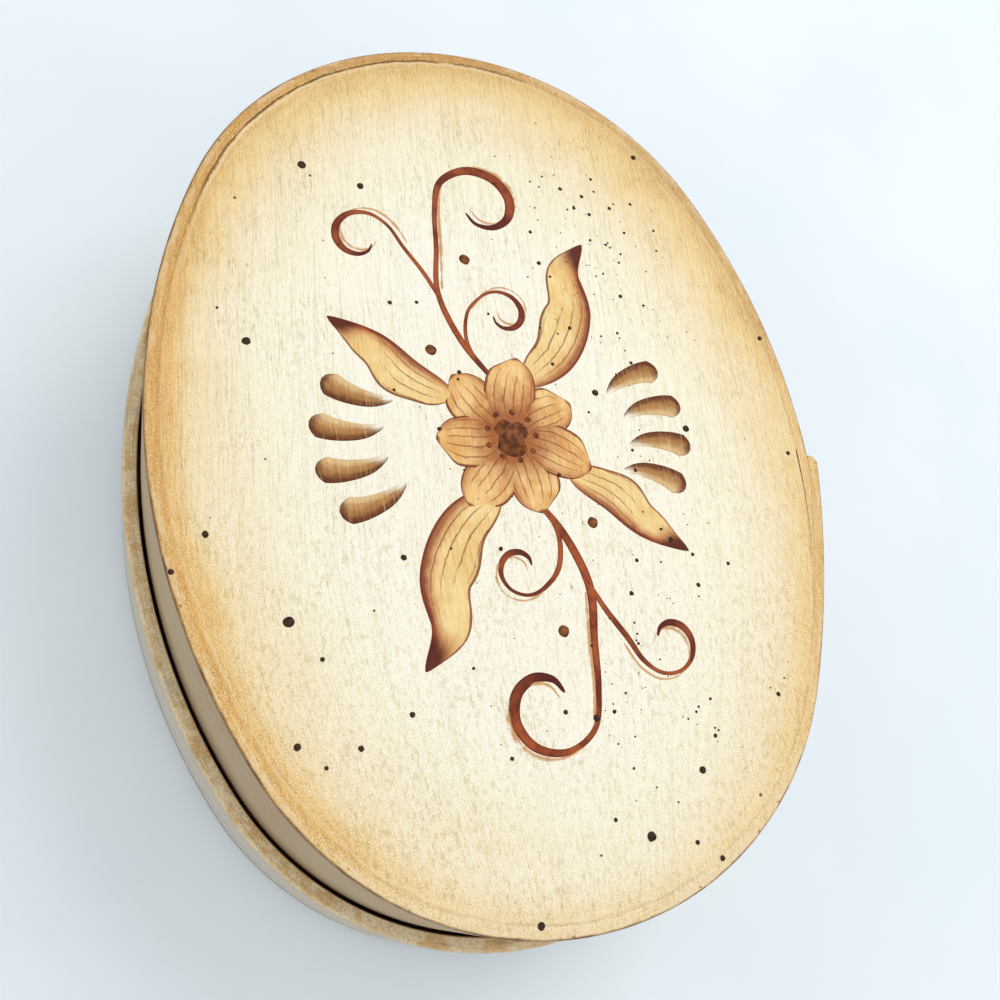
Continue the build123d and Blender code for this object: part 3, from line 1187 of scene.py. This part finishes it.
leaf = stroke_paint("ochre_leaf_paint")
along, across, stray, blur = leaf.along, leaf.across, leaf.stray, leaf.blur
pool = leaf.cloud(leaf.place, 6, 3, 0.6, 0.8)
colour = leaf.mix(pool.ramp(0.3, 0.7), (238, 200, 130), (249, 224, 162))
colour = leaf.mix(leaf.bristle.ramp(0.5, 0.75) * 0.35, colour, (222, 174, 108))
ragged = stray * 0.4 + blur * 0.2
shaded = (across + ragged * 0.6).ramp(0.22, 0.08) * along.ramp(0.1, 0.7, 0.45, 0.95)
veins = (across * 9 + along * 2 + blur * 0.8).maths("PINGPONG", 1.0)
vein_reach = along + across * 0.35 + blur * 0.5
veins = veins.ramp(0.78, 0.96) * along.ramp(0.04, 0.2) * vein_reach.ramp(0.85, 0.55)
tip = along + stray * 0.15 - across * 0.1
outline = (leaf.edge + blur * 0.12).ramp(0.86, 0.94)
leaf.feed(Base_Color=leaf.coats(
    let_through(leaf, colour),
    ((across + ragged).ramp(0.45, 0.1) * 0.75, (196, 118, 68)),
    (shaded, (120, 48, 34)),
    (veins * 0.8, (146, 76, 42)),
    (tip.ramp(0.66, 0.8) * 0.7, (178, 92, 46)),
    (tip.ramp(0.74, 0.84) * 0.95, (86, 30, 24)),
    (outline * 0.85, (132, 58, 36)),
))
leaf.count()

# %% [markdown]
# Petals are a deeper ochre, darkest toward the flower's heart, with longer veins and
# the brown line drawn across the tip as well.

# %% Mix the petal paint
petal = stroke_paint("ochre_petal_paint")
along, across, stray, blur = petal.along, petal.across, petal.stray, petal.blur
pool = petal.cloud(petal.place, 6, 3, 0.6, 0.8)
colour = petal.mix(pool.ramp(0.35, 0.65), (226, 172, 102), (246, 206, 140))
colour = petal.mix(petal.bristle.ramp(0.5, 0.75) * 0.35, colour, (208, 148, 86))
deep = (along + blur * 0.3 + stray * 0.3).ramp(0.55, 0.12)
turned_edge = (across + stray * 0.35).ramp(0.3, 0.08) * along.ramp(0.2, 0.5)
veins = (across * 11 + blur * 0.9).maths("PINGPONG", 1.0).ramp(0.78, 0.96)
veins = veins * (along + (pool - 0.5) * 0.9).ramp(0.82, 0.55)
outline = (petal.edge.most(along - 0.02) + blur * 0.1).ramp(0.88, 0.95)
petal.feed(Base_Color=petal.coats(
    let_through(petal, colour),
    (deep * 0.85, (156, 78, 40)),
    (turned_edge * 0.6, (178, 92, 48)),
    (veins * 0.8, (140, 70, 38)),
    (outline * 0.9, (132, 58, 34)),
))
petal.count()

# %% [markdown]
# A comma is one load of a brush with dark paint on one side of its hairs, so it fades
# across from dark to pale and breaks into streaks as it dries.

# %% Mix the comma paint
comma = stroke_paint("dry_comma_paint")
slope = comma.across + comma.stray * 0.6 + comma.blur * 0.3
colour = comma.mix(slope.ramp(0.1, 0.5), (108, 58, 30), (180, 130, 76))
colour = let_through(comma, comma.mix(slope.ramp(0.5, 0.95), colour, (226, 194, 142)))
head = (comma.along + comma.blur * 0.1).ramp(0.16, 0.02)
colour = comma.mix(head * 0.8, colour, (92, 40, 24))
thin = comma.along * 0.9 + comma.across * 0.3 + comma.stray * 1.6
comma.feed(Base_Color=colour, Alpha=thin.ramp(1.05, 0.8))
comma.count()

# %% [markdown]
# The heart, the berries and the spatter are single touches of paint, a little uneven in
# colour and shine. The brads are dull wire, stained where the metal has tarnished.

# %% Mix the dark paints and the steel
dark = Finish("dark_heart_paint", 0.12)
blot = dark.cloud(dark.place, 1.6, 3, 0.6)
colour = dark.mix(blot.ramp(0.4, 0.65), (92, 48, 26), (142, 86, 46))
dark.feed(Base_Color=colour, Roughness=blot.ramp(0.3, 0.7, 0.36, 0.5))
dark.bump(blot, 0.3, 0.08)

umber = Finish("umber_drop_paint", 0.12)
blot = umber.cloud(umber.place, 1.0, 2, 0.5)
colour = umber.mix(blot.ramp(0.4, 0.6), (50, 36, 28), (74, 50, 36))
umber.feed(Base_Color=colour, Roughness=blot.ramp(0.3, 0.7, 0.45, 0.6))
umber.bump(blot, 0.2, 0.05)

steel = Finish("dulled_brad_steel")
stain = steel.cloud(steel.place, 0.8, 3, 0.6)
scratch = steel.cloud(steel.place, 0.15, 2, 0.6)
colour = steel.mix(stain.ramp(0.4, 0.65), (150, 144, 134), (112, 92, 72))
steel.feed(Base_Color=colour, Metallic=stain.ramp(0.4, 0.65, 0.9, 0.35))
steel.feed(Roughness=scratch.ramp(0.3, 0.7, 0.38, 0.6))
steel.bump(scratch, 0.3, 0.02)
print("materials:", len(bpy.data.materials))

# %% [markdown]
# Each piece now gets its finish. A band or a board carries two: paint or wash on the
# faces that show, bare wood inside and underneath. The base's board and the brads are
# the packed model's own objects and only get a finish.

# %% Dress every piece
dress(cover_band, cream, band_wood)
dress(cover_board, cream, board_wood)
dress(base_band, greywash, band_wood)
dress(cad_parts["base_board"], board_wood)
for node in ("cover_board_brads", "cover_lap_brads", "base_board_brads", "base_lap_brads"):
    dress(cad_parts[node], steel)
for film, paint in zip(films, (brown, dry, leaf, petal, comma, dark, umber)):
    dress(film, paint)
print("painted films:", len(films))

# %% [markdown]
# The new pieces are tied to the packed model. Three take the place of a node, and each
# rides on the body that carries it. The strokes of paint replace nothing and ride on
# the cover, so they lift with it.

# %% Tie the pieces to the frame
for piece, node, body, slot in (
    (cover_band, "cover_band", "cover", "cover_paint"),
    (cover_board, "cover_board", "cover", "cover_paint"),
    (base_band, "base_band", "base", "base_wash"),
):
    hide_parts(node)
    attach(piece, body)
for film in films:
    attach(film, "cover")
